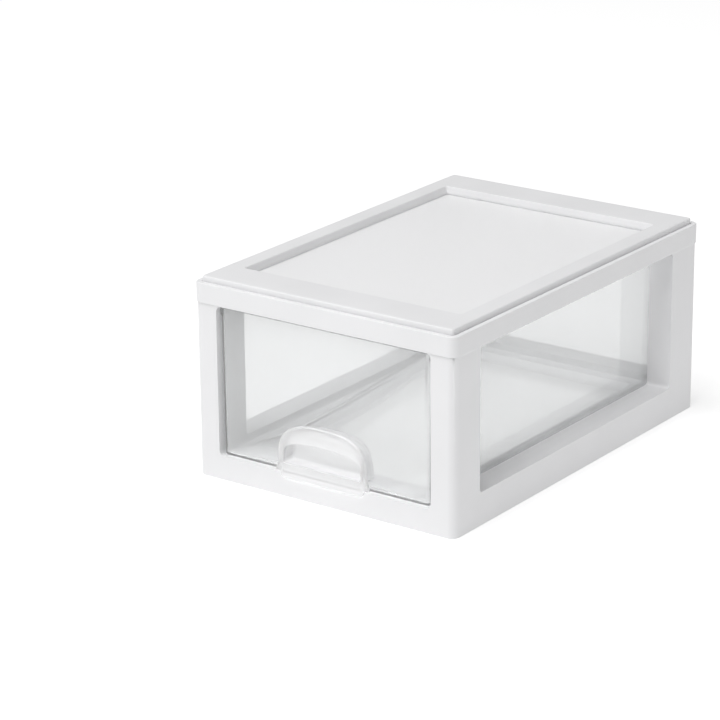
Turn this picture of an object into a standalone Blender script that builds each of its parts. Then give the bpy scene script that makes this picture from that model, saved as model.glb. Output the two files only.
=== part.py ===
"""Stackable shoe drawer: an open white frame, a clip-on top with a frosted panel, and one clear
drawer that slides out to the front.

Metres, +Z up.  The drawer opens along -Y.  The origin is on the floor, under the centre of the
whole object's box.  The pull's lip stands in front of the lid, so the housing itself sits
HOUSING_SHIFT behind that centre.
"""
import bmesh
import bpy
from math import cos, radians, sin
from mathutils import Matrix, Vector

# ---------------------------------------------------------------- driving dimensions (metres)
LID_WIDTH = 0.2560           # overall width, over the lid's band
LID_DEPTH = 0.3735           # depth over the lid's band
BAND_OVERHANG = 0.0009       # the band stands this far outside the housing
TOP_Z = 0.1712               # overall height, top of the raised rim
STEP_Z = 0.1666              # shoulder around the raised rim, where the next unit stands
SEAM_Z = 0.1496              # underside of the lid's band
WALL = 0.0024                # wall of the white mouldings
GAP = 0.0003                 # gap left between neighbouring solids

POST_WIDTH = 0.0222          # posts, along X
FRONT_POST_DEPTH = 0.0360    # posts, along Y
REAR_POST_DEPTH = 0.0424
CORNER_RADIUS = 0.0070       # vertical corners of the housing
RAIL_TOP_Z = 0.0280          # top of the side rails and the rear rail
SILL_Z = 0.0207              # floor ledge, and bottom of the front opening
NEST_Z = 0.0070              # the unit below reaches up inside the foot to here
LEDGE_WIDTH = 0.0207         # floor ledge beside the drawer
LEDGE_FLANGE = 0.0060        # down-turned edge around the floor window

RIM_INSET = 0.0050           # raised rim, in from the band
RIM_SIDE_WIDTH = 0.0173      # raised rim beside the panel
RIM_END_WIDTH = 0.0364       # raised rim in front of and behind the panel
PANEL_TOP_Z = 0.1640
PANEL_THICK = 0.0020
SEAT_WIDTH = 0.0025          # lip that carries the panel
PANEL_HOLE_RADIUS = 0.0020   # corners of the panel's opening
TOP_RING_HEIGHT = 0.0100     # ring of the frame inside the lid's band
RING_CORNER_CUT = 0.0055     # the ring's corners are cut off inside the lid's rounded ones

DRAWER_WALL = 0.0020
PANE_THICK = 0.0022
DRAWER_SIDE_CLEARANCE = 0.0024
DRAWER_RIM_CLEARANCE = 0.0007
DRAWER_RIM_HEIGHT = 0.0060
DRAWER_TOP_Z = 0.1480
PANE_RECESS = 0.0020         # the clear pane sits behind the front of the posts
DRAWER_REAR_CLEARANCE = 0.0028
TRAVEL = 0.3000              # how far the drawer slides before its stops meet the front top rail
STOP_LENGTH = 0.0040
STOP_HEIGHT = 0.0040

PULL_HALF_WIDTH = 0.0460     # outer outline of the arched pull at its foot
PULL_TOP_Z = 0.0650
PULL_SHOULDER_Z = 0.0300     # the outline is straight up to here and an arch above
PULL_LEAN = 0.0025           # the legs lean in by this between sill and shoulder
PULL_CROWN = 3.0             # superellipse powers of the two arches
MOUTH_CROWN = 2.4
MOUTH_HALF_WIDTH = 0.0390
MOUTH_LEAN = 0.0010
MOUTH_SHOULDER_Z = 0.0400
MOUTH_TOP_Z = 0.0495
HOOD_FOOT_Z = 0.0218
LIP_TOP_Z = 0.0290
LIP_BOTTOM_Z = 0.0164
LIP_HALF_WIDTH = 0.0415
LIP_PROUD = 0.0020           # the lip and hood stand this far in front of the posts
LIP_THICK = 0.0017
LIP_SHELF = 0.0020           # shelf that joins the lip to the pane
LIP_CORNER = 0.0045
NOTCH_INSET = 0.0020         # the pane's notch lies this far inside the pull's outline
CUP_INSET = 0.0024           # and the finger pocket fits in the notch
CUP_DEPTH = 0.0150           # finger pocket, from the face of the pane
CUP_WALL = 0.0016
ARC_STEPS = 16

# ---------------------------------------------------------------- derived places
HALF_W = LID_WIDTH / 2 - BAND_OVERHANG
HALF_D = LID_DEPTH / 2 - BAND_OVERHANG
HOUSING_SHIFT = (LIP_PROUD - BAND_OVERHANG) / 2
BAY_HALF_W = HALF_W - POST_WIDTH
FRONT_OPENING_Y = -HALF_D + FRONT_POST_DEPTH
REAR_OPENING_Y = HALF_D - REAR_POST_DEPTH
REAR_RAIL_Y = HALF_D - POST_WIDTH
FLOOR_WINDOW_X = BAY_HALF_W - LEDGE_WIDTH
POST_TOP_Z = SEAM_Z - GAP
PANEL_SEAT_Z = PANEL_TOP_Z - PANEL_THICK - GAP

PANE_FRONT_Y = -HALF_D + PANE_RECESS
PANE_BACK_Y = PANE_FRONT_Y + PANE_THICK
DRAWER_HALF_W = BAY_HALF_W - DRAWER_SIDE_CLEARANCE
DRAWER_RIM_HALF_W = BAY_HALF_W - DRAWER_RIM_CLEARANCE
DRAWER_RIM_Z = DRAWER_TOP_Z - DRAWER_RIM_HEIGHT
DRAWER_BOTTOM_Z = SILL_Z + GAP
DRAWER_REAR_Y = REAR_RAIL_Y - DRAWER_REAR_CLEARANCE
LIP_FRONT_Y = -HALF_D - LIP_PROUD
STOP_Y = -REAR_RAIL_Y + TRAVEL + GAP


# ---------------------------------------------------------------- helpers
def clear_scene():
    for old in list(bpy.data.objects):
        bpy.data.objects.remove(old, do_unlink=True)


def plastic(name, colour, roughness, transmission=0.0):
    """A Principled BSDF for one moulded plastic."""
    material = bpy.data.materials.new(name)
    material.use_nodes = True
    shader = material.node_tree.nodes["Principled BSDF"]
    shader.inputs["Base Color"].default_value = (*colour, 1.0)
    shader.inputs["Roughness"].default_value = roughness
    shader.inputs["Metallic"].default_value = 0.0
    shader.inputs["Transmission Weight"].default_value = transmission
    shader.inputs["IOR"].default_value = 1.5
    return material


def group(name, place):
    """An empty that carries a group of pieces; `place` is in the housing's coordinates."""
    empty = bpy.data.objects.new(name, None)
    empty.location = Vector(place) + Vector((0, HOUSING_SHIFT, 0))
    bpy.context.collection.objects.link(empty)
    return empty


def solid(name, bm, material, parent):
    """Make an object of a bmesh drawn in the housing's coordinates, its origin at its middle."""
    bmesh.ops.recalc_face_normals(bm, faces=bm.faces)
    places = [v.co for v in bm.verts]
    low = Vector([min(p[i] for p in places) for i in range(3)])
    high = Vector([max(p[i] for p in places) for i in range(3)])
    middle = (low + high) / 2
    bmesh.ops.translate(bm, verts=bm.verts, vec=-middle)
    mesh = bpy.data.meshes.new(name)
    bm.to_mesh(mesh)
    bm.free()
    mesh.materials.append(material)
    obj = bpy.data.objects.new(name, mesh)
    obj.parent = parent
    obj.location = middle + Vector((0, HOUSING_SHIFT, 0)) - parent.location
    bpy.context.collection.objects.link(obj)


def block(x, y, z):
    """A box between the given pairs of limits."""
    bm = bmesh.new()
    size = [abs(side[1] - side[0]) for side in (x, y, z)]
    middle = [sum(side) / 2 for side in (x, y, z)]
    bmesh.ops.create_cube(bm, size=1.0, matrix=Matrix.Translation(middle) @ Matrix.Diagonal((*size, 1)))
    return bm


def place_points(outline, axis, along):
    """Points of a flat outline, square to an axis: (y, z) for X, (x, z) for Y and (x, y) for Z."""
    slot = "XYZ".index(axis)
    return [(a, b)[:slot] + (along,) + (a, b)[slot:] for a, b in outline]


def raise_faces(bm, faces, axis, length):
    """Extrude faces along an axis."""
    grown = bmesh.ops.extrude_face_region(bm, geom=faces)["geom"]
    step = Vector([length if letter == axis else 0 for letter in "XYZ"])
    bmesh.ops.translate(bm, verts=[g for g in grown if isinstance(g, bmesh.types.BMVert)], vec=step)


def extrusion(outline, axis, limits):
    """A flat outline extruded along an axis between two limits."""
    bm = bmesh.new()
    face = bm.faces.new([bm.verts.new(point) for point in place_points(outline, axis, limits[0])])
    raise_faces(bm, [face], axis, limits[1] - limits[0])
    return bm


def add_loop(bm, outline, axis, along):
    return [bm.verts.new(point) for point in place_points(outline, axis, along)]


def skin_between(bm, near, far):
    """Faces between two closed loops, each point joined to its own partner."""
    pairs = list(zip(near, far))
    return [bm.faces.new((a, b, d, c)) for (a, c), (b, d) in zip(pairs, pairs[1:] + pairs[:1])]


def tube(outer, inner, axis, limits):
    """A straight tube between two outlines that have the same number of points."""
    bm = bmesh.new()
    end = skin_between(bm, add_loop(bm, outer, axis, limits[0]), add_loop(bm, inner, axis, limits[0]))
    raise_faces(bm, end, axis, limits[1] - limits[0])
    return bm


def arc(centre, radius, start, end, steps=5):
    """Points of an arc in plan; angles in degrees."""
    turns = [radians(start + (end - start) * i / steps) for i in range(steps + 1)]
    return [(centre[0] + radius * cos(turn), centre[1] + radius * sin(turn)) for turn in turns]


def rounded_rectangle(half_w, half_d, radius):
    """A rectangle in plan with four rounded corners."""
    x = half_w - radius
    y = half_d - radius
    return (arc((x, y), radius, 0, 90) + arc((-x, y), radius, 90, 180)
            + arc((-x, -y), radius, 180, 270) + arc((x, -y), radius, 270, 360))


def rounded_ring(stations):
    """A closed ring whose section runs through the stations (half width, half depth, radius, z)."""
    bm = bmesh.new()
    loops = [add_loop(bm, rounded_rectangle(w, d, r), "Z", z) for w, d, r, z in stations]
    for near, far in zip(loops, loops[1:] + loops[:1]):
        skin_between(bm, near, far)
    return bm


def cut_away(bm, point, normal):
    """Cut with a plane, remove the side that the normal points to and close the cuts."""
    everything = bm.verts[:] + bm.edges[:] + bm.faces[:]
    bmesh.ops.bisect_plane(bm, geom=everything, plane_co=point, plane_no=normal, clear_outer=True)
    bmesh.ops.holes_fill(bm, edges=[edge for edge in bm.edges if edge.is_boundary], sides=0)


def arch(foot_x, shoulder_x, foot_z, shoulder_z, top_z, power):
    """An arch from its right foot over the top to its left foot: legs that lean in, then a rounded
    crown (a superellipse of the given power)."""
    crown = []
    for i in range(ARC_STEPS + 1):
        turn = radians(180 * i / ARC_STEPS)
        side = 1 if cos(turn) > 0 else -1
        across = side * abs(cos(turn)) ** (2 / power) * shoulder_x
        crown.append((across, shoulder_z + abs(sin(turn)) ** (2 / power) * (top_z - shoulder_z)))
    return [(foot_x, foot_z)] + crown + [(-foot_x, foot_z)]


def pull_outline(inset, foot_z):
    """The pull's own arch, moved in by `inset`, with its legs starting at `foot_z`."""
    shoulder_x = PULL_HALF_WIDTH - PULL_LEAN - inset
    foot_x = shoulder_x + PULL_LEAN * (PULL_SHOULDER_Z - foot_z) / (PULL_SHOULDER_Z - SILL_Z)
    return arch(foot_x, shoulder_x, foot_z, PULL_SHOULDER_Z, PULL_TOP_Z - inset, PULL_CROWN)


def flipped(outline):
    """An outline mirrored across x = 0."""
    return [(-a, b) for a, b in outline]


def span(near, far):
    return (min(near, far), max(near, far))


# ---------------------------------------------------------------- the white frame
def make_foot(white, housing):
    """The thin wall that the unit stands on; the unit below reaches up inside it."""
    straight_x = HALF_W - CORNER_RADIUS
    straight_y = HALF_D - CORNER_RADIUS
    height = (0, NEST_Z - GAP)
    for name, side in (("foot_wall_front", -1), ("foot_wall_rear", 1)):
        wall = span(side * HALF_D, side * (HALF_D - WALL))
        solid(name, block((GAP - straight_x, straight_x - GAP), wall, height), white, housing)
    for name, side in (("foot_wall_left", -1), ("foot_wall_right", 1)):
        wall = span(side * HALF_W, side * (HALF_W - WALL))
        solid(name, block(wall, (GAP - straight_y, straight_y - GAP), height), white, housing)
    corners = (("rear_right", 1, 1, 0), ("rear_left", -1, 1, 90),
               ("front_left", -1, -1, 180), ("front_right", 1, -1, 270))
    for name, side_x, side_y, turn in corners:
        centre = (side_x * straight_x, side_y * straight_y)
        outline = (arc(centre, CORNER_RADIUS, turn, turn + 90)
                   + arc(centre, CORNER_RADIUS - WALL, turn + 90, turn))
        solid("foot_corner_" + name, extrusion(outline, "Z", height), white, housing)


def post_outline(inset, depth):
    """Plan of a front left post, its outer corner rounded, moved in by `inset`."""
    left = -HALF_W + inset
    front = -HALF_D + inset
    right = -BAY_HALF_W - inset
    rear = -HALF_D + depth - inset
    radius = CORNER_RADIUS - inset
    corner = arc((left + radius, front + radius), radius, 180, 270)
    return corner + [(right, front), (right, rear), (left, rear)]


def make_posts(white, housing):
    """Four hollow corner posts, open at both ends."""
    posts = (("post_front_left", 1, 1, FRONT_POST_DEPTH), ("post_front_right", -1, 1, FRONT_POST_DEPTH),
             ("post_rear_left", 1, -1, REAR_POST_DEPTH), ("post_rear_right", -1, -1, REAR_POST_DEPTH))
    for name, turn_x, turn_y, depth in posts:
        outer = [(turn_x * x, turn_y * y) for x, y in post_outline(0, depth)]
        inner = [(turn_x * x, turn_y * y) for x, y in post_outline(WALL, depth)]
        solid(name, tube(outer, inner, "Z", (NEST_Z, POST_TOP_Z)), white, housing)


def channel(outer, inner, top):
    """Section of a rail: a channel that is open below."""
    way = 1 if inner > outer else -1
    return [(outer, NEST_Z), (outer, top), (inner, top), (inner, NEST_Z), (inner - way * WALL, NEST_Z),
            (inner - way * WALL, top - WALL), (outer + way * WALL, top - WALL), (outer + way * WALL, NEST_Z)]


def make_rails(white, housing):
    """Side rails and rear rail between the posts, and the sill under the front opening."""
    between_posts = (FRONT_OPENING_Y + GAP, REAR_OPENING_Y - GAP)
    side_rail = channel(-HALF_W, -BAY_HALF_W, RAIL_TOP_Z)
    solid("side_rail_left", extrusion(side_rail, "Y", between_posts), white, housing)
    solid("side_rail_right", extrusion(flipped(side_rail), "Y", between_posts), white, housing)
    across_bay = (GAP - BAY_HALF_W, BAY_HALF_W - GAP)
    solid("rear_rail", extrusion(channel(HALF_D, REAR_RAIL_Y, RAIL_TOP_Z), "X", across_bay), white, housing)
    window = FRONT_OPENING_Y
    under = SILL_Z - WALL
    sill = [(-HALF_D, NEST_Z), (-HALF_D, SILL_Z), (window, SILL_Z), (window, SILL_Z - LEDGE_FLANGE),
            (window - WALL, SILL_Z - LEDGE_FLANGE), (window - WALL, under), (WALL - HALF_D, under),
            (WALL - HALF_D, NEST_Z)]
    solid("front_sill", extrusion(sill, "X", across_bay), white, housing)


def make_floor_ledges(white, housing):
    """The ledge that the drawer rides on, around the window in the frame's floor."""
    bottom = SILL_Z - LEDGE_FLANGE
    edge = -FLOOR_WINDOW_X
    wall = GAP - BAY_HALF_W
    ledge = [(wall, SILL_Z), (edge, SILL_Z), (edge, bottom), (edge - WALL, bottom),
             (edge - WALL, SILL_Z - WALL), (wall, SILL_Z - WALL)]
    along_drawer = (FRONT_OPENING_Y + GAP, REAR_RAIL_Y - GAP)
    solid("floor_ledge_left", extrusion(ledge, "Y", along_drawer), white, housing)
    solid("floor_ledge_right", extrusion(flipped(ledge), "Y", along_drawer), white, housing)
    edge = -FRONT_OPENING_Y
    wall = REAR_RAIL_Y - GAP
    ledge = [(wall, SILL_Z), (edge, SILL_Z), (edge, bottom), (edge + WALL, bottom),
             (edge + WALL, SILL_Z - WALL), (wall, SILL_Z - WALL)]
    width = FLOOR_WINDOW_X - GAP
    solid("floor_ledge_rear", extrusion(ledge, "X", (-width, width)), white, housing)


def make_top_ring(white, housing):
    """Rails across the tops of the posts; the lid's band clips over them."""
    outer = HALF_W + BAND_OVERHANG - WALL - GAP
    rear = HALF_D + BAND_OVERHANG - WALL - GAP
    low = SEAM_Z
    high = SEAM_Z + TOP_RING_HEIGHT
    side = [(-outer, low), (-outer, high), (WALL - outer, high), (WALL - outer, low + WALL),
            (-BAY_HALF_W, low + WALL), (-BAY_HALF_W, low)]
    length = REAR_RAIL_Y - GAP
    solid("top_rail_left", extrusion(side, "Y", (-length, length)), white, housing)
    solid("top_rail_right", extrusion(flipped(side), "Y", (-length, length)), white, housing)
    end = [(-rear, low), (-rear, high), (WALL - rear, high), (WALL - rear, low + WALL),
           (-REAR_RAIL_Y, low + WALL), (-REAR_RAIL_Y, low)]
    for name, outline, side_y in (("top_rail_front", end, -1), ("top_rail_rear", flipped(end), 1)):
        bm = extrusion(outline, "X", (-outer, outer))
        for side_x in (-1, 1):
            corner = (side_x * (outer - RING_CORNER_CUT), side_y * rear, 0)
            cut_away(bm, corner, (side_x, side_y, 0))
        solid(name, bm, white, housing)


# ---------------------------------------------------------------- the lid
def lid_ring():
    """The whole lid moulding: band, shoulder, raised rim and the seat for the panel."""
    band_w = LID_WIDTH / 2
    band_d = LID_DEPTH / 2
    rim_w = band_w - RIM_INSET
    rim_d = band_d - RIM_INSET
    hole_w = rim_w - RIM_SIDE_WIDTH
    hole_d = rim_d - RIM_END_WIDTH
    outer_radius = CORNER_RADIUS + BAND_OVERHANG
    rim_radius = outer_radius - RIM_INSET
    inner_radius = outer_radius - WALL
    hole_radius = PANEL_HOLE_RADIUS
    seat_low = PANEL_SEAT_Z - WALL
    return rounded_ring([
        (band_w, band_d, outer_radius, SEAM_Z),
        (band_w, band_d, outer_radius, STEP_Z),
        (rim_w, rim_d, rim_radius, STEP_Z),
        (rim_w, rim_d, rim_radius, TOP_Z),
        (hole_w, hole_d, hole_radius, TOP_Z),
        (hole_w, hole_d, hole_radius, PANEL_SEAT_Z),
        (hole_w - SEAT_WIDTH, hole_d - SEAT_WIDTH, hole_radius / 2, PANEL_SEAT_Z),
        (hole_w - SEAT_WIDTH, hole_d - SEAT_WIDTH, hole_radius / 2, seat_low),
        (hole_w + WALL, hole_d + WALL, hole_radius + WALL, seat_low),
        (hole_w + WALL, hole_d + WALL, hole_radius + WALL, TOP_Z - WALL),
        (rim_w - WALL, rim_d - WALL, rim_radius / 2, TOP_Z - WALL),
        (rim_w - WALL, rim_d - WALL, rim_radius / 2, STEP_Z - WALL),
        (band_w - WALL, band_d - WALL, inner_radius, STEP_Z - WALL),
        (band_w - WALL, band_d - WALL, inner_radius, SEAM_Z)])


def make_lid(white, frosted, housing):
    """The lid in four lengths, cut square just inside its panel opening, and the panel."""
    cut = LID_DEPTH / 2 - RIM_INSET - RIM_END_WIDTH - SEAT_WIDTH - GAP
    for name, side in (("lid_front", -1), ("lid_rear", 1)):
        bm = lid_ring()
        cut_away(bm, (0, side * cut, 0), (0, -side, 0))
        solid(name, bm, white, housing)
    for name, side in (("lid_left", -1), ("lid_right", 1)):
        bm = lid_ring()
        cut_away(bm, (0, cut - GAP, 0), (0, 1, 0))
        cut_away(bm, (0, GAP - cut, 0), (0, -1, 0))
        bmesh.ops.delete(bm, geom=[v for v in bm.verts if v.co.x * side < 0], context="VERTS")
        solid(name, bm, white, housing)
    panel_w = LID_WIDTH / 2 - RIM_INSET - RIM_SIDE_WIDTH - GAP
    panel_d = LID_DEPTH / 2 - RIM_INSET - RIM_END_WIDTH - GAP
    outline = rounded_rectangle(panel_w, panel_d, PANEL_HOLE_RADIUS - GAP)
    panel = extrusion(outline, "Z", (PANEL_TOP_Z - PANEL_THICK, PANEL_TOP_Z))
    solid("top_panel", panel, frosted, housing)


# ---------------------------------------------------------------- the clear drawer
def make_drawer_box(clear, drawer):
    """Floor, side walls and rear wall, the walls with a thicker rim along their tops."""
    floor_half_w = DRAWER_HALF_W - DRAWER_WALL - GAP
    floor_rear = DRAWER_REAR_Y - DRAWER_WALL - GAP
    front = PANE_BACK_Y + GAP
    solid("drawer_floor", block((-floor_half_w, floor_half_w), (front, floor_rear),
                                (DRAWER_BOTTOM_Z, DRAWER_BOTTOM_Z + DRAWER_WALL)), clear, drawer)
    inner = DRAWER_WALL - DRAWER_HALF_W
    side = [(-DRAWER_HALF_W, DRAWER_BOTTOM_Z), (-DRAWER_HALF_W, DRAWER_RIM_Z),
            (-DRAWER_RIM_HALF_W, DRAWER_RIM_Z), (-DRAWER_RIM_HALF_W, DRAWER_TOP_Z),
            (inner, DRAWER_TOP_Z), (inner, DRAWER_BOTTOM_Z)]
    solid("drawer_wall_left", extrusion(side, "Y", (front, DRAWER_REAR_Y)), clear, drawer)
    solid("drawer_wall_right", extrusion(flipped(side), "Y", (front, DRAWER_REAR_Y)), clear, drawer)
    rear_wall = (DRAWER_REAR_Y - DRAWER_WALL, DRAWER_REAR_Y)
    height = (DRAWER_BOTTOM_Z, DRAWER_TOP_Z)
    solid("drawer_wall_rear", block((-floor_half_w, floor_half_w), rear_wall, height), clear, drawer)
    for name, side in (("drawer_stop_left", -1), ("drawer_stop_right", 1)):
        x = span(side * (DRAWER_HALF_W - DRAWER_WALL), side * DRAWER_RIM_HALF_W)
        solid(name, block(x, (STOP_Y, STOP_Y + STOP_LENGTH),
                          (DRAWER_TOP_Z + GAP, DRAWER_TOP_Z + GAP + STOP_HEIGHT)), clear, drawer)


def make_drawer_front(clear, drawer):
    """The pane, notched from below for the finger cup, with a wider band along its top."""
    notch = pull_outline(NOTCH_INSET, DRAWER_BOTTOM_Z)
    outline = [(DRAWER_HALF_W, DRAWER_BOTTOM_Z), (DRAWER_HALF_W, DRAWER_RIM_Z),
               (DRAWER_RIM_HALF_W, DRAWER_RIM_Z), (DRAWER_RIM_HALF_W, DRAWER_TOP_Z)]
    outline = outline + flipped(outline[::-1]) + notch[::-1]
    solid("drawer_front", extrusion(outline, "Y", (PANE_FRONT_Y, PANE_BACK_Y)), clear, drawer)


def make_pull(clear, drawer):
    """The arched pull: a hood, the finger cup behind it and the lip below it."""
    side = LIP_HALF_WIDTH + GAP
    foot = LIP_TOP_Z + GAP
    mouth = arch(MOUTH_HALF_WIDTH, MOUTH_HALF_WIDTH - MOUTH_LEAN, foot, MOUTH_SHOULDER_Z,
                 MOUTH_TOP_Z, MOUTH_CROWN)
    mouth = [(side, HOOD_FOOT_Z), (side, foot)] + mouth + [(-side, foot), (-side, HOOD_FOOT_Z)]
    hood = pull_outline(0, HOOD_FOOT_Z) + mouth[::-1]
    solid("pull_hood", extrusion(hood, "Y", (LIP_FRONT_Y, PANE_FRONT_Y - GAP)), clear, drawer)

    cup = pull_outline(CUP_INSET, LIP_TOP_Z - CUP_WALL - GAP)
    bm = extrusion(cup, "Y", (PANE_FRONT_Y, PANE_FRONT_Y + CUP_DEPTH))
    mouth_face = min(bm.faces, key=lambda face: face.calc_center_median().y)
    bmesh.ops.recalc_face_normals(bm, faces=bm.faces)
    bmesh.ops.inset_region(bm, faces=[mouth_face], thickness=CUP_WALL, use_even_offset=True)
    hollow = bmesh.ops.extrude_discrete_faces(bm, faces=[mouth_face])["faces"][0]
    bmesh.ops.translate(bm, verts=hollow.verts, vec=(0, CUP_DEPTH - CUP_WALL, 0))
    solid("pull_cup", bm, clear, drawer)

    lip_back = LIP_FRONT_Y + LIP_THICK
    shelf = LIP_TOP_Z - LIP_SHELF
    lip = [(LIP_FRONT_Y, LIP_BOTTOM_Z), (LIP_FRONT_Y, LIP_TOP_Z), (PANE_FRONT_Y - GAP, LIP_TOP_Z),
           (PANE_FRONT_Y - GAP, shelf), (lip_back, shelf), (lip_back, LIP_BOTTOM_Z)]
    bm = extrusion(lip, "X", (-LIP_HALF_WIDTH, LIP_HALF_WIDTH))
    lower_ends = [edge for edge in bm.edges if max(v.co.z for v in edge.verts) < LIP_BOTTOM_Z + GAP
                  and abs(edge.verts[0].co.y - edge.verts[1].co.y) > GAP]
    bmesh.ops.bevel(bm, geom=lower_ends, offset=LIP_CORNER, offset_type="OFFSET", segments=4,
                    profile=0.5, affect="EDGES", material=-1)
    solid("pull_lip", bm, clear, drawer)


def main():
    clear_scene()
    white = plastic("white_plastic", (0.86, 0.86, 0.87), 0.42)
    frosted = plastic("frosted_panel", (0.82, 0.81, 0.82), 0.5, 0.35)
    clear = plastic("clear_plastic", (0.95, 0.97, 0.96), 0.06, 0.95)
    housing = group("housing", (0, 0, 0))
    drawer = group("drawer_slide", (0, PANE_FRONT_Y, SILL_Z))
    make_foot(white, housing)
    make_posts(white, housing)
    make_rails(white, housing)
    make_floor_ledges(white, housing)
    make_top_ring(white, housing)
    make_lid(white, frosted, housing)
    make_drawer_box(clear, drawer)
    make_drawer_front(clear, drawer)
    make_pull(clear, drawer)


main()
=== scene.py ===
# %% [markdown]
# # A stackable shoe box with a clear drawer
#
# The object is a small drawer unit for one pair of shoes.  It is made of four mouldings: a white
# frame with open sides, a white lid that clips over it, a frosted panel in the lid, and a clear
# drawer with an arched finger pull.  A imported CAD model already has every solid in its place, but
# with flat faces and sharp edges.  This script reads its sizes from that model and builds the rounded,
# thin-walled mouldings over it, one piece at a time.

# %% Load the measured frame
from math import cos, pi, radians, sin

import bmesh
import bpy
from mathutils import Matrix, Vector


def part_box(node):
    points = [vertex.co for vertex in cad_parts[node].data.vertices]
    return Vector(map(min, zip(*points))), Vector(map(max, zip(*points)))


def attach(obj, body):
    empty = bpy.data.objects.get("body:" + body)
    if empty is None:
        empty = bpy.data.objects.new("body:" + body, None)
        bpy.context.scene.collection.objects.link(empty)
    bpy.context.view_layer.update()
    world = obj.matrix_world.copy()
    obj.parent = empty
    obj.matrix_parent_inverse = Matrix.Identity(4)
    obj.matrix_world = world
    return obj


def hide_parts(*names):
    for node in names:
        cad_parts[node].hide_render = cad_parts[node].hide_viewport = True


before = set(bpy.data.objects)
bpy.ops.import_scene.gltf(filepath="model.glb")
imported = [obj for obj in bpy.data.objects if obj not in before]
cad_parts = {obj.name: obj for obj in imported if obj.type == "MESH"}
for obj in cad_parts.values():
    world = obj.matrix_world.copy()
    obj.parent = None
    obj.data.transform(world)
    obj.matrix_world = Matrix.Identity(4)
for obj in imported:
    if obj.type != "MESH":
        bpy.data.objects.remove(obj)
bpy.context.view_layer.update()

MM = 0.001

# %% [markdown]
# ## The camera
#
# The box is seen from the front right and a little above.  A camera can be turned towards an empty
# with a constraint, but then its roll can't be set freely.  Here its place and its three axes are
# worked out from an azimuth, an elevation and a roll, which are easy to adjust one by one.  The lens
# is long and the camera far away, so that the upright edges stay nearly parallel.

# %% Place the camera
AZIMUTH, ELEVATION, ROLL = radians(35.989), radians(19.226), radians(-0.548)
DISTANCE = 2.6182
AIM = Vector((-0.09688, 0.00055, 0.05147))

back = Vector((sin(AZIMUTH) * cos(ELEVATION), -cos(AZIMUTH) * cos(ELEVATION), sin(ELEVATION)))
right = (-back).cross(Vector((0, 0, 1))).normalized()
up = right.cross(-back)
axes = [right * cos(ROLL) + up * sin(ROLL), up * cos(ROLL) - right * sin(ROLL), back]
camera = bpy.data.objects.new("camera", bpy.data.cameras.new("camera"))
camera.matrix_world = Matrix.Translation(AIM + back * DISTANCE) @ Matrix(axes).transposed().to_4x4()
camera.data.lens = 151.98
camera.data.sensor_width = 36.0
camera.data.clip_end = 50.0
bpy.context.scene.collection.objects.link(camera)
bpy.context.scene.camera = camera
print(f"camera {DISTANCE:.2f} m away with a {camera.data.lens:.0f} mm lens")

# %% [markdown]
# ## The floor
#
# White plastic on a white ground only reads well when the ground is brighter than the plastic.  A
# strong lamp would do that, but it would also burn out the plastic.  So the floor is a plain pale
# sheet that glows a little by itself: it comes out almost pure white and still takes a soft shadow.

# %% Make the floor
FLOOR_GREY = 0.62
FLOOR_GLOW = 0.56


def principled(name):
    """A new material and its Principled shader."""
    material = bpy.data.materials.new(name)
    material.use_nodes = True
    return material, material.node_tree.nodes["Principled BSDF"]


def make_floor():
    bm = bmesh.new()
    bmesh.ops.create_grid(bm, x_segments=1, y_segments=1, size=12.0)
    mesh = bpy.data.meshes.new("floor")
    bm.to_mesh(mesh)
    bm.free()
    floor = bpy.data.objects.new("floor", mesh)
    bpy.context.scene.collection.objects.link(floor)
    material, shader = principled("floor_white")
    shader.inputs["Base Color"].default_value = (FLOOR_GREY, FLOOR_GREY, FLOOR_GREY, 1)
    shader.inputs["Roughness"].default_value = 0.8
    shader.inputs["Specular IOR Level"].default_value = 0.0
    shader.inputs["Emission Color"].default_value = (1, 1, 1, 1)
    shader.inputs["Emission Strength"].default_value = FLOOR_GLOW
    mesh.materials.append(material)
    return floor


print("made", make_floor().name)

# %% [markdown]
# ## The light
#
# A studio shot of white plastic needs one broad, soft lamp, so that the faces differ only gently.
# The lamp is a wide area light high above the front, and the rest comes from an even white surround.
# The plain Standard view transform keeps white white, where a filmic one would turn it grey.

# %% Light the scene
KEY_PLACE, KEY_AIM = (-0.34, -1.55, 3.89), (0, 0, 0.08)
KEY_SIZE, KEY_POWER = 3.0, 140
SURROUND = 0.30


def soft_lamp(name, place, aim, size, power):
    """A square area light that looks at a point."""
    lamp = bpy.data.lights.new(name, "AREA")
    lamp.shape, lamp.size, lamp.size_y, lamp.energy = "RECTANGLE", size, size, power
    obj = bpy.data.objects.new(name, lamp)
    obj.location = place
    obj.rotation_euler = (Vector(aim) - Vector(place)).to_track_quat("-Z", "Y").to_euler()
    bpy.context.scene.collection.objects.link(obj)


world = bpy.data.worlds.new("surround")
world.use_nodes = True
world.node_tree.nodes["Background"].inputs["Color"].default_value = (1, 1, 1, 1)
world.node_tree.nodes["Background"].inputs["Strength"].default_value = SURROUND
bpy.context.scene.world = world
soft_lamp("key", KEY_PLACE, KEY_AIM, KEY_SIZE, KEY_POWER)
bpy.context.scene.view_settings.view_transform = "Standard"
print(f"key lamp {KEY_POWER} W, surround {SURROUND}")

# %% [markdown]
# ## Sizes from the frame
#
# A finished piece has to sit exactly where its plain CAD solids are.  Its sizes could be typed in a
# second time, but then the two could drift apart.  So each one is read from the bounding box of the
# solid that has it, and only fine sizes that no solid has, such as edge radii, are typed in.

# %% Read the sizes
def low(node):
    """The corner of a CAD solid's box with the smallest x, y and z."""
    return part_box(node)[0]


def high(node):
    """The corner of a CAD solid's box with the largest x, y and z."""
    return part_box(node)[1]


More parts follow.
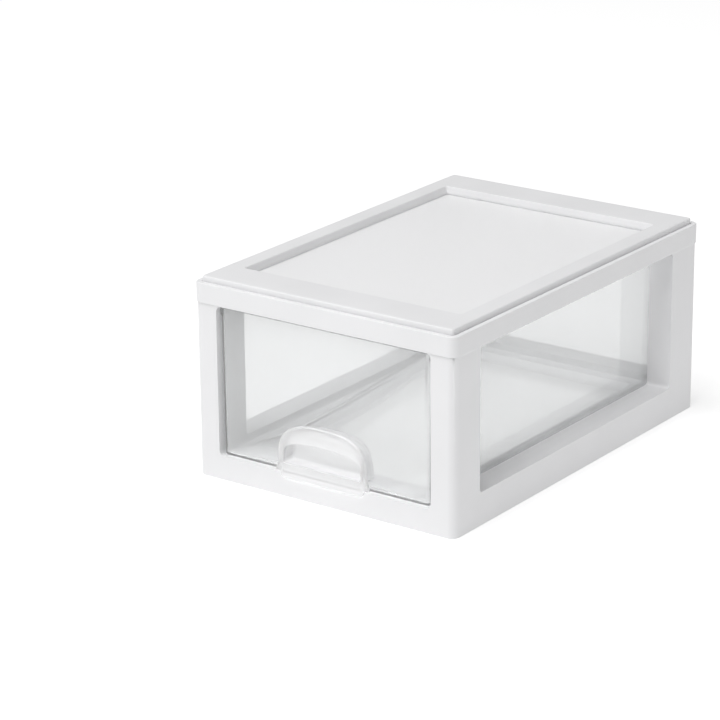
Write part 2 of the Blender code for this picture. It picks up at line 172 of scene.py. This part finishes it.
BODY_X = high("post_front_right").x
BODY_FRONT = low("foot_wall_front").y
BODY_REAR = high("foot_wall_rear").y
BAY_X = low("post_front_right").x
POST_BACK = high("post_front_left").y
REAR_POST_FRONT = low("post_rear_left").y
BAY_REAR = low("rear_rail").y
RAIL_TOP = high("side_rail_left").z
SILL_TOP = high("front_sill").z
LEDGE_BOTTOM = low("floor_ledge_left").z
WINDOW_X = low("floor_ledge_right").x
NEST_TOP = low("post_front_left").z
SEAM = low("lid_front").z
RING_X = high("top_rail_front").x
RING_REAR = high("top_rail_rear").y
RING_TOP = high("top_rail_front").z
WALL = 2.4 * MM
CORNER = 7.0 * MM
MIDDLE_Y = (BODY_FRONT + BODY_REAR) / 2
print(f"body {2000 * BODY_X:.1f} x {1000 * (BODY_REAR - BODY_FRONT):.1f} mm")

# %% [markdown]
# ## Blocks and objects
#
# Most of the white frame is straight walls with rounded upright corners.  Such a shape could be
# drawn as an outline and extruded.  A cube whose four parallel edges are bevelled gives the same in
# two operators, and the same helper makes the blocks that cut windows and hollows.

# %% Blocks and objects
def rounded_block(near, far, radius=0.0, axis="Z", steps=5):
    """A box between two corners; the four edges along one axis are rounded."""
    bm = bmesh.new()
    near, far = Vector(near), Vector(far)
    size = Matrix.Diagonal((*(far - near), 1))
    bmesh.ops.create_cube(bm, size=1.0, matrix=Matrix.Translation((near + far) / 2) @ size)
    if radius:
        way = "XYZ".index(axis)
        along = [e for e in bm.edges if abs((e.verts[0].co - e.verts[1].co).normalized()[way]) > 0.9]
        bmesh.ops.bevel(bm, geom=along, offset=radius, offset_type="OFFSET", segments=steps,
                        profile=0.5, affect="EDGES", material=-1, clamp_overlap=True)
    return bm


def as_object(name, bm):
    """Turn a bmesh into an object in the scene."""
    mesh = bpy.data.meshes.new(name)
    bm.to_mesh(mesh)
    bm.free()
    obj = bpy.data.objects.new(name, mesh)
    bpy.context.scene.collection.objects.link(obj)
    return obj


# %% [markdown]
# ## Cutting and joining
#
# Windows and hollows are cut with Boolean modifiers.  Their exact solver is slower than the fast one
# but copes with faces that lie in one plane, as they do all over a moulding.  A cut leaves faces with
# many sides, and one that runs right round a window can shade wrongly.  So they are split into
# triangles, and points that fall together are merged, before a Bevel is put on the edges.

# %% Cutting and joining
MERGE = 2e-6


def bake_modifiers(obj):
    """Make the modified shape the object's own mesh."""
    bpy.context.view_layer.update()
    shaped = obj.evaluated_get(bpy.context.evaluated_depsgraph_get())
    mesh = bpy.data.meshes.new_from_object(shaped)
    obj.modifiers.clear()
    old, obj.data = obj.data, mesh
    bpy.data.meshes.remove(old)


def clean_cuts(obj):
    """Merge points that fall together and split many-sided faces into triangles."""
    bm = bmesh.new()
    bm.from_mesh(obj.data)
    bmesh.ops.remove_doubles(bm, verts=bm.verts, dist=MERGE)
    bmesh.ops.dissolve_degenerate(bm, edges=bm.edges, dist=MERGE)
    many_sided = [f for f in bm.faces if len(f.verts) > 4]
    bmesh.ops.triangulate(bm, faces=many_sided, ngon_method="EAR_CLIP")
    bmesh.ops.holes_fill(bm, edges=[e for e in bm.edges if e.is_boundary], sides=0)
    bm.to_mesh(obj.data)
    bm.free()


def carve(obj, tools, operation="DIFFERENCE"):
    """Cut tools out of an object, or join them to it, and keep only the result."""
    helpers = []
    for bm in tools:
        tool = as_object("carving_tool", bm)
        modifier = obj.modifiers.new("carve", "BOOLEAN")
        modifier.operation, modifier.object, modifier.solver = operation, tool, "EXACT"
        helpers.append(tool)
    bake_modifiers(obj)
    for tool in helpers:
        bpy.data.meshes.remove(tool.data)
    clean_cuts(obj)


# %% [markdown]
# ## Edges and handing over a piece
#
# No moulded edge is quite sharp.  A Bevel modifier can round all edges above a certain angle at once.
# On a shape with many cuts it has a weakness: the cuts leave very short edges beside long ones.
# Without its overlap limit the Bevel throws spikes there.  With the limit, as here, the short edges
# hold the rounding down to less than a thousandth of a millimetre, so the frame keeps its exact
# outside but its cut edges stay sharp.  Tidying the short edges away first would be the next step.
# Weighted normals keep the wide faces flat.  A finished piece then gets its material, rides on its
# body and takes the place of the plain solids.

# %% Edges and handing over
def shade(obj):
    """Smooth shading in which the wide faces stay flat."""
    obj.data.shade_smooth()
    normals = obj.modifiers.new("shading", "WEIGHTED_NORMAL")
    normals.mode, normals.weight, normals.keep_sharp = "FACE_AREA", 80, False


def soften(obj, width):
    """Bevel a cut shape by up to a width; its short edges may leave almost nothing of it."""
    bevel = obj.modifiers.new("edges", "BEVEL")
    bevel.width, bevel.segments, bevel.angle_limit = width, 3, radians(40)
    bevel.limit_method, bevel.miter_outer, bevel.use_clamp_overlap = "ANGLE", "MITER_SHARP", True
    bake_modifiers(obj)
    shade(obj)


def deliver(obj, body, material, nodes):
    """Put a finished piece on its body in place of the plain CAD solids."""
    obj.data.materials.clear()
    obj.data.materials.append(material)
    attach(obj, body)
    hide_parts(*nodes)
    size = obj.dimensions * 1000
    print(f"{obj.name}: {size.x:.1f} x {size.y:.1f} x {size.z:.1f} mm, {len(obj.data.polygons)} faces")


# %% [markdown]
# ## White plastic
#
# The frame and the lid are one kind of white plastic: satin, never quite even in tone or in gloss,
# with a fine grain from the mould.  One flat colour would look like paper.  Here a broad noise moves
# both the white and the gloss by a little, and a very fine noise gives the grain as a bump.  All of
# it reads Object coordinates, so the pattern stays on the plastic when a piece moves.

# %% White plastic
def link_in(tree, kind, **values):
    """A new shader node with its settings and its socket values."""
    node = tree.nodes.new(kind)
    for key, value in values.items():
        if hasattr(node, key):
            setattr(node, key, value)
        else:
            node.inputs[key.replace("_", " ")].default_value = value
    return node


def make_white():
    material, shader = principled("white_moulded_plastic")
    tree = material.node_tree
    place = tree.nodes.new("ShaderNodeTexCoord")
    cloud = link_in(tree, "ShaderNodeTexNoise", Scale=18.0, Detail=3.0, Roughness=0.5)
    tint = tree.nodes.new("ShaderNodeValToRGB")
    tint.color_ramp.elements[0].position, tint.color_ramp.elements[1].position = 0.3, 0.7
    tint.color_ramp.elements[0].color = (0.83, 0.83, 0.84, 1)
    tint.color_ramp.elements[1].color = (0.86, 0.86, 0.87, 1)
    grain = link_in(tree, "ShaderNodeTexNoise", Scale=900.0, Detail=2.0, Roughness=0.6)
    shine = link_in(tree, "ShaderNodeMapRange", To_Min=0.34, To_Max=0.46)
    bump = link_in(tree, "ShaderNodeBump", Strength=0.10, Distance=0.0002)
    for a, b in ((place.outputs["Object"], cloud.inputs["Vector"]),
                 (place.outputs["Object"], grain.inputs["Vector"]),
                 (cloud.outputs["Fac"], tint.inputs["Fac"]),
                 (tint.outputs["Color"], shader.inputs["Base Color"]),
                 (cloud.outputs["Fac"], shine.inputs["Value"]),
                 (shine.outputs["Result"], shader.inputs["Roughness"]),
                 (grain.outputs["Fac"], bump.inputs["Height"]),
                 (bump.outputs["Normal"], shader.inputs["Normal"])):
        tree.links.new(a, b)
    shader.inputs["IOR"].default_value = 1.5
    return material


WHITE = make_white()
print("made", WHITE.name)

# %% [markdown]
# ## Openings in the frame
#
# On the real object the frame is one moulding: a foot, four corner posts, rails, a front sill and
# ledges that the drawer slides on.  It could be joined from bars, but each joint would leave an inner
# face.  It is easier to start from the full block and to cut away what is open.  First come the bay
# for the drawer, the windows in the sides, the back and the floor, and the inside of the ring on top.

# %% Openings
OVER = 20 * MM
FAR = 200 * MM
BAY_CORNER, WINDOW_CORNER, FLOOR_CORNER = 4.5 * MM, 3.5 * MM, 2.5 * MM
DEEP = -5 * MM
RING_FRONT = 2 * MIDDLE_Y - RING_REAR


def openings():
    """Blocks that cut the drawer's bay, the windows and the inside of the ring."""
    front_of_rear = 2 * MIDDLE_Y - BAY_REAR
    floor_rear = -POST_BACK + 2 * MIDDLE_Y
    return [
        rounded_block((-BAY_X, BODY_FRONT - OVER, SILL_TOP), (BAY_X, BAY_REAR, SEAM), BAY_CORNER, "Y"),
        rounded_block((-BAY_X, front_of_rear, 0.12), (BAY_X, BAY_REAR, FAR)),
        rounded_block((-FAR, POST_BACK, RAIL_TOP), (FAR, REAR_POST_FRONT, SEAM), WINDOW_CORNER, "X"),
        rounded_block((-BAY_X, 0.05, RAIL_TOP), (BAY_X, 0.3, SEAM), WINDOW_CORNER, "Y"),
        rounded_block((-WINDOW_X, POST_BACK, DEEP), (WINDOW_X, floor_rear, 0.03), FLOOR_CORNER),
        rounded_block((WALL - RING_X, RING_FRONT + WALL, SEAM + WALL),
                      (RING_X - WALL, RING_REAR - WALL, FAR)),
    ]


# %% [markdown]
# ## Hollows in the frame
#
# A moulding has walls of one thickness, so every post, rail and ledge is hollow and open below.
# Solidify could give such walls, but it would also thicken the windows' edges inwards.  More blocks
# are cut out from underneath instead, each one wall in from the outside.  The left and right sides
# are the same, so a loop makes both.

# %% Hollows
def hollows(post_top):
    """Blocks that hollow the foot, the posts, the rails and the ledges from below."""
    inner_x, inner_front, inner_rear = BODY_X - WALL, BODY_FRONT + WALL, BODY_REAR - WALL
    bay_wall_x, bay_rear = BAY_X - WALL, BAY_REAR - WALL
    ledge_under, rail_under, post_under = SILL_TOP - WALL, RAIL_TOP - WALL, post_top - WALL
    floor_rear = 2 * MIDDLE_Y - POST_BACK + WALL
    cuts = [
        rounded_block((-inner_x, inner_front, DEEP), (inner_x, inner_rear, NEST_TOP),
                      CORNER - WALL, steps=3),
        rounded_block((-bay_wall_x, inner_front, DEEP), (bay_wall_x, bay_rear, LEDGE_BOTTOM)),
    ]
    for side in (-1, 1):
        xs = sorted((side * (BAY_X + WALL), side * inner_x))
        for y0, y1 in ((inner_front, POST_BACK - WALL), (REAR_POST_FRONT + WALL, inner_rear)):
            cuts.append(rounded_block((xs[0], y0, DEEP), (xs[1], y1, post_under)))
        y0, y1 = POST_BACK + WALL, REAR_POST_FRONT - WALL
        cuts.append(rounded_block((xs[0], y0, DEEP), (xs[1], y1, rail_under)))
        xs = sorted((side * (WINDOW_X + WALL), side * bay_wall_x))
        cuts.append(rounded_block((xs[0], inner_front, DEEP), (xs[1], bay_rear, ledge_under)))
    for y0, y1, under in ((BAY_REAR + WALL, inner_rear, rail_under),
                          (inner_front, POST_BACK - WALL, ledge_under),
                          (floor_rear, bay_rear, ledge_under)):
        cuts.append(rounded_block((-bay_wall_x, y0, DEEP), (bay_wall_x, y1, under)))
    return cuts


# %% [markdown]
# ## The frame
#
# The block is the outline of the body with rounded upright corners, and the ring that the lid clips
# over is joined on top.  These blocks and the cutting blocks bring their own round corners with them.
# All cuts then go in at once.  The Bevel comes last, to reach the edges of the cuts, but as said
# above the short edges leave almost nothing of it.

# %% Frame
RING_CORNER = 5.3 * MM
FRAME_EDGE = 0.8 * MM
SEAM_GAP = 0.3 * MM


def make_frame():
    post_top = SEAM - SEAM_GAP
    block = rounded_block((-BODY_X, BODY_FRONT, 0), (BODY_X, BODY_REAR, post_top), CORNER, steps=8)
    obj = as_object("housing_frame", block)
    ring = rounded_block((-RING_X, RING_FRONT, 0.1), (RING_X, RING_REAR, RING_TOP), RING_CORNER)
    carve(obj, [ring], "UNION")
    carve(obj, openings() + hollows(post_top))
    soften(obj, FRAME_EDGE)
    return obj


HOUSING = "housing"
NAMES = sorted(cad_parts)
FRAME_PARTS = ("foot_", "post_", "side_rail", "floor_ledge", "top_rail")
frame_nodes = [n for n in NAMES if n.startswith(FRAME_PARTS)] + ["rear_rail", "front_sill"]
deliver(make_frame(), HOUSING, WHITE, frame_nodes)

# %% [markdown]
# ## Sections carried round a rounded rectangle
#
# The lid and the drawer have the same section all the way round.  A curve with a bevel object could
# sweep it, but the corners' radii would have to follow each point of the section.  So every point of
# the section becomes its own rounded rectangle, and one grid is wrapped round these loops.

# %% Sections
def arc_points(centre, radius, start, end, steps):
    """Points on an arc, from one angle to another."""
    turns = [radians(start + (end - start) * i / steps) for i in range(steps + 1)]
    return [(centre[0] + radius * cos(t), centre[1] + radius * sin(t)) for t in turns]


def rounded_loop(x0, x1, y0, y1, radius, z, steps=6):
    """Points of a rounded rectangle at one height."""
    r = radius
    centres = ((x1 - r, y1 - r), (x0 + r, y1 - r), (x0 + r, y0 + r), (x1 - r, y0 + r))
    flat = []
    for quarter, centre in enumerate(centres):
        flat += arc_points(centre, r, 90 * quarter, 90 * quarter + 90, steps)
    return [Vector((x, y, z)) for x, y in flat]


def wrap(loops, closed=False):
    """Wrap a grid around a row of closed loops; the ends are joined to each other or capped."""
    rows = loops + loops[:1] if closed else loops
    across, along = len(rows[0]) + 1, len(rows)
    bm = bmesh.new()
    bmesh.ops.create_grid(bm, x_segments=across - 1, y_segments=along - 1, size=1.0)
    bm.verts.ensure_lookup_table()
    for i, vert in enumerate(bm.verts):
        loop = rows[i // across]
        vert.co = loop[i % across % len(loop)]
    bmesh.ops.remove_doubles(bm, verts=bm.verts, dist=1e-6)
    if not closed:
        bmesh.ops.holes_fill(bm, edges=[e for e in bm.edges if e.is_boundary], sides=0)
    bmesh.ops.recalc_face_normals(bm, faces=bm.faces)
    return bm


def filleted(corners, steps=4):
    """A section's corner points (a, b, radius) turned into points with rounded corners."""
    points = []
    for i, (a, b, r) in enumerate(corners):
        here = Vector((a, b))
        if not r:
            points.append(here)
            continue
        start = here + (Vector(corners[i - 1][:2]) - here).normalized() * r
        end = here + (Vector(corners[(i + 1) % len(corners)][:2]) - here).normalized() * r
        for k in range(steps + 1):
            t = k / steps
            points.append(start * (1 - t) ** 2 + here * 2 * t * (1 - t) + end * t ** 2)
    return points


# %% [markdown]
# ## The lid's section
#
# Seen from the side, the lid is a band, a step on which the next box stands, a narrow groove, and a
# raised rim that goes into the foot of that box.  Inside, the rim slopes down to the frosted panel
# and carries it on a small seat.  The section is written as points from the outside over the top to
# the seat and back underneath, each with its own fillet.

# %% The lid's section
LID_LOW, LID_HIGH = low("lid_front"), high("lid_rear")
PANEL_LOW, PANEL_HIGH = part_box("top_panel")
LID_WALL = 2.2 * MM
STEP = 166.6 * MM
RIM = 5.0 * MM
GROOVE = 0.9 * MM
SEAT = 2.5 * MM
FIT = 0.3 * MM
RIM_SIDE = LID_HIGH.x - PANEL_HIGH.x - FIT
RIM_END = PANEL_LOW.y - LID_LOW.y - FIT


def lid_section():
    """Points (distance in from the band, height) of the lid's section along its sides."""
    top, panel, seat = LID_HIGH.z, PANEL_HIGH.z, PANEL_LOW.z - FIT
    under_top, under_step = top - LID_WALL, STEP - LID_WALL
    outside = [
        (0, SEAM, 0.6 * MM), (0, STEP, 1.0 * MM), (RIM - 0.7 * MM, STEP - 0.1 * MM, 0.2 * MM),
        (RIM - 0.6 * MM, STEP - GROOVE, 0.2 * MM), (RIM + 0.1 * MM, STEP - GROOVE, 0.2 * MM),
        (RIM + 0.5 * MM, top, 1.6 * MM), (RIM_SIDE - 0.6 * MM, top, 1.0 * MM)]
    recess = [
        (RIM_SIDE + 1.3 * MM, panel + 2.4 * MM, 0.8 * MM), (RIM_SIDE + 1.4 * MM, panel + 0.05 * MM, 0),
        (RIM_SIDE, panel + 0.05 * MM, 0), (RIM_SIDE, seat, 0), (RIM_SIDE + SEAT, seat, 0)]
    inside = [
        (RIM_SIDE + SEAT, seat - LID_WALL, 0), (RIM_SIDE - LID_WALL, seat - LID_WALL, 0),
        (RIM_SIDE - LID_WALL, under_top, 0.8 * MM), (RIM + LID_WALL, under_top, 0.8 * MM),
        (RIM + LID_WALL, under_step, 0.5 * MM), (LID_WALL, under_step, 0.5 * MM),
        (LID_WALL, SEAM, 0.5 * MM)]
    return filleted(outside + recess + inside)


print(len(lid_section()), "points in the lid's section")

# %% [markdown]
# ## The lid
#
# The rim is wider at the front and the back than at the sides.  One could make two sections and
# blend them.  Here the part of the section from the rim inwards is moved further in at both ends, so
# one section serves.  The loops near the band take the body's round corner, and those near the
# panel take the small corner of the panel's opening.

# %% Lid
def make_lid():
    x1, y0, y1 = LID_HIGH.x, LID_LOW.y, LID_HIGH.y
    outer_corner = CORNER + 0.9 * MM
    loops = []
    for inset, z in lid_section():
        share = min(max((inset - RIM - 3 * MM) / (RIM_SIDE - RIM - 6 * MM), 0), 1)
        end_inset = inset + (RIM_END - RIM_SIDE) * share
        if share < 0.5:
            radius = max(outer_corner - inset, 1.2 * MM)
        else:
            radius = max(2 * MM + RIM_SIDE - inset, 1 * MM)
        loops.append(rounded_loop(-x1 + inset, x1 - inset, y0 + end_inset, y1 - end_inset, radius, z))
    obj = as_object("lid_frame", wrap(loops, closed=True))
    shade(obj)
    return obj


deliver(make_lid(), HOUSING, WHITE, ["lid_front", "lid_rear", "lid_left", "lid_right"])

# %% [markdown]
# ## The frosted panel
#
# The panel in the lid lets light through but no shapes.  The CAD solid is already right for it, a
# flat sheet, so it stays and only gets a finish: partly see-through, with a grain so fine that it
# only scatters the light.  A clear or frosted sheet throws a far too dark shadow in a path tracer,
# so lamplight is let through it as if it were tinted glass.

# %% Frosted panel
def let_lamps_through(tree, shader, share):
    """Let lamplight pass the plastic, so that what is behind it isn't in a black shadow."""
    path = tree.nodes.new("ShaderNodeLightPath")
    clear = link_in(tree, "ShaderNodeBsdfTransparent", Color=(share, share, share, 1))
    mix = tree.nodes.new("ShaderNodeMixShader")
    tree.links.new(path.outputs["Is Shadow Ray"], mix.inputs[0])
    tree.links.new(shader.outputs[0], mix.inputs[1])
    tree.links.new(clear.outputs[0], mix.inputs[2])
    tree.links.new(mix.outputs[0], tree.nodes["Material Output"].inputs["Surface"])


def uneven_surface(tree, shader, noise, bump):
    """A bump from a noise on Object coordinates."""
    place = tree.nodes.new("ShaderNodeTexCoord")
    tree.links.new(place.outputs["Object"], noise.inputs["Vector"])
    tree.links.new(noise.outputs["Fac"], bump.inputs["Height"])
    tree.links.new(bump.outputs["Normal"], shader.inputs["Normal"])


def make_frosted():
    material, shader = principled("frosted_plastic")
    tree = material.node_tree
    grain = link_in(tree, "ShaderNodeTexNoise", Scale=1400.0, Detail=2.0, Roughness=0.6)
    bump = link_in(tree, "ShaderNodeBump", Strength=0.25, Distance=0.0002)
    uneven_surface(tree, shader, grain, bump)
    shader.inputs["Base Color"].default_value = (0.90, 0.90, 0.905, 1)
    shader.inputs["Roughness"].default_value = 0.45
    shader.inputs["Transmission Weight"].default_value = 0.35
    let_lamps_through(tree, shader, 0.72)
    return material


FROSTED = make_frosted()
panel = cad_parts["top_panel"]
panel.data.materials.clear()
panel.data.materials.append(FROSTED)
print("top_panel is", FROSTED.name)

# %% [markdown]
# ## Clear plastic
#
# The drawer is clear, but not as clear as glass: it is a little grey and hazy, and its faces wave
# slightly where the plastic flowed.  Full transmission would make it vanish on a white floor.  So
# some of it is diffuse, its tint takes away a little light at each wall, and a wide, weak noise
# bends the reflections.  The pull is milkier, so that it shows up against the pane.

# %% Clear plastic
def make_clear(name, clarity, roughness, tint):
    material, shader = principled(name)
    tree = material.node_tree
    flow = link_in(tree, "ShaderNodeTexNoise", Scale=14.0, Detail=2.0, Roughness=0.4)
    bump = link_in(tree, "ShaderNodeBump", Strength=0.06, Distance=0.001)
    uneven_surface(tree, shader, flow, bump)
    shader.inputs["Base Color"].default_value = (*tint, 1)
    shader.inputs["Roughness"].default_value = roughness
    shader.inputs["Transmission Weight"].default_value = clarity
    shader.inputs["IOR"].default_value = 1.49
    let_lamps_through(tree, shader, 0.95)
    return material


CLEAR = make_clear("clear_moulded_plastic", 0.84, 0.02, (0.915, 0.92, 0.922))
PEARLY = make_clear("clear_plastic_of_the_pull", 0.60, 0.12, (0.93, 0.93, 0.935))
print("made", CLEAR.name, "and", PEARLY.name)

# %% [markdown]
# ## Outlines of the pull
#
# Seen from the front, the pull is an arch: a lip at its foot, two legs that lean in, and a flat
# crown.  A half circle would be too round for the crown, so it is a superellipse, whose power sets
# how square it is.  Each outline is made as its right half and mirrored.  All of them have the same
# number of points, so that they can be joined to each other.  They are in millimetres, and d moves
# an outline in.

# %% Outlines of the pull
PANE = low("drawer_front").y
LIP_FRONT = low("pull_lip").y
CUP_REAR = high("pull_cup").y
CROWN_STEPS = 16
LIP_FLAT_X, LIP_X, LEG_X, SHOULDER_X = 36.5, 41.5, 46.0, 43.5
LIP_FOOT_Z, LEG_FOOT_Z, SHOULDER_Z, CROWN_Z = 16.4, 21.9, 30, 65
MOUTH_FOOT_X, MOUTH_X, MOUTH_SHOULDER_X = 37.2, 38.8, 38.0
MOUTH_FOOT_Z, MOUTH_SHOULDER_Z, MOUTH_CROWN_Z = 29.3, 39, 49.5


def half_outline(bottom_x, bottom_z, corner, step, foot, shoulder, top_z, power=3.0):
    """Right half of an arch, from the middle of its foot to its crown."""
    points = [Vector((bottom_x * i / 6, bottom_z)) for i in range(6)]
    points += [Vector(p) for p in arc_points((bottom_x, bottom_z + corner), corner, 270, 360, 5)]
    points += [Vector(step[0]), Vector(step[1])]
    points += [Vector(foot).lerp(Vector(shoulder), i / 5) for i in range(5)]
    for i in range(CROWN_STEPS + 1):
        turn = pi / 2 * i / CROWN_STEPS
        across = shoulder[0] * cos(turn) ** (2 / power)
        rise = (top_z - shoulder[1]) * sin(turn) ** (2 / power)
        points.append(Vector((across, shoulder[1] + rise)))
    return points


def whole(half):
    """The full closed outline from its right half."""
    left = [Vector((-p.x, p.y)) for p in half[1:-1]]
    return half + left[::-1]


def pull_edge(d):
    """Outline of the whole pull, lip and hood."""
    step_z = LEG_FOOT_Z + d
    step = [(LIP_X - d, step_z - 0.3), (LIP_X - d + 0.4, step_z)]
    foot, shoulder = (LEG_X - d, step_z + 0.5), (SHOULDER_X - d, SHOULDER_Z)
    return whole(half_outline(LIP_FLAT_X, LIP_FOOT_Z + d, 5 - d, step, foot, shoulder, CROWN_Z - d))


def pocket_edge(d, foot_z):
    """Outline of the finger pocket."""
    corner = 3.0
    shoulder_x = SHOULDER_X - d
    leg_x = shoulder_x
    if foot_z < SHOULDER_Z:
        leg_x += 2.5 * (SHOULDER_Z - foot_z) / 9.3
    corner_z = foot_z + corner
    step = [(leg_x, corner_z + 0.05), (leg_x, corner_z + 0.1)]
    shoulder_z = max(SHOULDER_Z, corner_z + 0.5) + 0.2
    foot, shoulder = (leg_x, corner_z + 0.2), (shoulder_x, shoulder_z)
    return whole(half_outline(leg_x - corner, foot_z, corner, step, foot, shoulder, CROWN_Z - d))


def mouth_edge(d=0.0):
    """Outline of the mouth under the hood, grown by d."""
    step = [(MOUTH_X + d, 31), (MOUTH_X + d, 31.2)]
    foot, shoulder = (MOUTH_X + d, 31.5), (MOUTH_SHOULDER_X + d, MOUTH_SHOULDER_Z)
    return whole(half_outline(MOUTH_FOOT_X + d, MOUTH_FOOT_Z - d, 1.5, step, foot, shoulder,
                              MOUTH_CROWN_Z + d, 2.4))


print(len(pull_edge(0)), "points in each outline")

# %% [markdown]
# ## The drawer's tub
#
# The real drawer is one clear moulding: a floor, four walls that lean out a little so that it leaves
# the mould, and a thicker rim.  A box with Solidify would have no rim.  So the tub is a section
# carried round like the lid, from the middle of the underside over the rim to the middle of the
# floor.  A notch for the pull is then cut in the pane, and the two tabs that stop the drawer at the
# back are joined to its rim.

# %% Tub
TUB_X = high("drawer_floor").x + 2.3 * MM
TUB_WALL, DRAFT, RIM_HEIGHT = 2.0 * MM, 0.6 * MM, 6 * MM
NOTCH_INSET, NOTCH_FOOT = 2.0, 26.7


def tub_loops():
    """Rounded rectangles from the underside over the rim to the floor."""
    bottom, top = low("drawer_floor").z, high("drawer_front").z
    rear = high("drawer_wall_rear").y
    rim = TUB_X - high("drawer_front").x
    section = [
        (9 * MM, bottom, 0), (DRAFT, bottom, 3.0 * MM), (0, top - RIM_HEIGHT, 0.3 * MM),
        (rim, top - RIM_HEIGHT, 0.4 * MM), (rim, top, 0.6 * MM), (TUB_WALL, top, 0.6 * MM),
        (TUB_WALL + DRAFT, bottom + TUB_WALL, 2.2 * MM), (9 * MM, bottom + TUB_WALL, 0)]
    loops = []
    for inset, z in filleted(section):
        # the rim stands out at the sides only, so the front stays in one plane
        y_inset = max(inset, 0)
        radius = max(4.0 * MM - y_inset, 1.5 * MM)
        loops.append(rounded_loop(-TUB_X + inset, TUB_X - inset, PANE + y_inset, rear - y_inset, radius, z))
    return loops


def make_tub():
    obj = as_object("drawer_tub", wrap(tub_loops()))
    notch = [Vector((p.x * MM, PANE - 0.01, p.y * MM)) for p in pocket_edge(NOTCH_INSET, NOTCH_FOOT)]
    carve(obj, [wrap([notch, [p + Vector((0, 0.02, 0)) for p in notch]])])
    tabs = []
    for name in ("drawer_stop_left", "drawer_stop_right"):
        near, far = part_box(name)
        tabs.append(rounded_block(near - Vector((0, 0, 0.8 * MM)), far, 0.8 * MM, "Y", 3))
    carve(obj, tabs, "UNION")
    shade(obj)
    return obj


DRAWER = "drawer"
drawer_nodes = [n for n in NAMES if n.startswith("drawer_")]
deliver(make_tub(), DRAWER, CLEAR, drawer_nodes)

# %% [markdown]
# ## The back of the pull
#
# The pull is a hood over a finger pocket that goes in through the pane, with a lip below.  Its wall
# turns back on itself several times, which is hard to carve from a block.  But every part of it is
# an outline at some depth, so one skin can run over all of them: from the back of the pocket
# forward to the pane and out along the back of the hood and the lip.  This cell makes that half.

# %% The back of the pull
FRONT_MM, PANE_MM, REAR_MM = LIP_FRONT / MM, PANE / MM, CUP_REAR / MM
SILL_LINE = 21.25


def at(outline, y, lip_y=None):
    """Stand an outline up at depth y; the lip, below the sill's line, may have its own depth."""
    depths = [lip_y if lip_y is not None and p.y < SILL_LINE else y for p in outline]
    return [Vector((p.x, depth, p.y)) * MM for p, depth in zip(outline, depths)]


def pocket_end(d, foot_z, depth, shrink, turn, bend):
    """One loop of the pocket's rounded end."""
    smaller = shrink * (1 - sin(radians(turn)))
    edge = pocket_edge(d + smaller, foot_z + smaller + 5 * (1 - turn / 90))
    return at(edge, depth - bend * (1 - cos(radians(turn))))


def back_loops():
    """Loops from the pocket's end forward to the pane, then over the back of the hood and lip."""
    back, lip_back = PANE_MM - 0.05, FRONT_MM + 1.7
    loops = [pocket_end(2.4, 27.1, REAR_MM, 4, turn, 4) for turn in range(0, 91, 18)]
    loops += [at(pocket_edge(2.4, 27.1), PANE_MM + 2.6), at(pocket_edge(2.4, 27.1), back)]
    shelf = [Vector((p.x, max(p.y, 21.3))) for p in pull_edge(0.6)]
    shelf_front = [Vector((p.x, lip_back if p.y < 21.35 else back, p.y)) * MM for p in shelf]
    loops += [at(shelf, back), shelf_front, at(pull_edge(0.4), back, lip_back)]
    loops.append(at(pull_edge(0), back - 0.4, lip_back - 0.3))
    return loops


print(len(back_loops()), "loops on the back of the pull")

# %% [markdown]
# ## The front of the pull
#
# From the back the skin rolls over a rounded ridge, which catches the light, dips across the face of
# the hood to its mouth, and lines the pocket.  The ridge could be a separate rounded rod, but in the
# mould it is one with the hood, so it is a few loops close together here.

# %% Pull
RIDGE = ((0, 1.1), (0.1, 0.65), (0.35, 0.3), (0.7, 0.08), (1.2, 0.0), (1.9, 0.02), (2.6, 0.15))
FACE = ((0.25, 0.55), (0.5, 0.75), (0.75, 0.8), (0.9, 0.65), (0.97, 0.6))


def between(a, b, t):
    """An outline part of the way from one outline to another."""
    return [p.lerp(q, t) for p, q in zip(a, b)]


def front_loops():
    """Loops over the ridge and the hood's face, through the mouth and into the pocket."""
    loops = [at(pull_edge(d), FRONT_MM + y) for d, y in RIDGE]
    ridge, mouth, inner = pull_edge(2.6), mouth_edge(), pocket_edge(4.0, 28.7)
    loops += [at(between(ridge, mouth, t), FRONT_MM + y) for t, y in FACE]
    loops += [at(mouth, FRONT_MM + 0.85), at(mouth, FRONT_MM + 1.9), at(mouth_edge(0.3), FRONT_MM + 2.3)]
    loops += [at(between(mouth, inner, 0.6), PANE_MM - 0.4), at(inner, PANE_MM + 1.0)]
    loops.append(at(inner, PANE_MM + 5.0))
    loops += [pocket_end(4.0, 28.7, REAR_MM - 1.6, 3, turn, 3) for turn in range(90, -1, -18)]
    return loops


def make_pull():
    obj = as_object("arched_pull", wrap(back_loops() + front_loops()))
    obj.data.shade_smooth()
    return obj


deliver(make_pull(), DRAWER, PEARLY, ["pull_hood", "pull_cup", "pull_lip"])
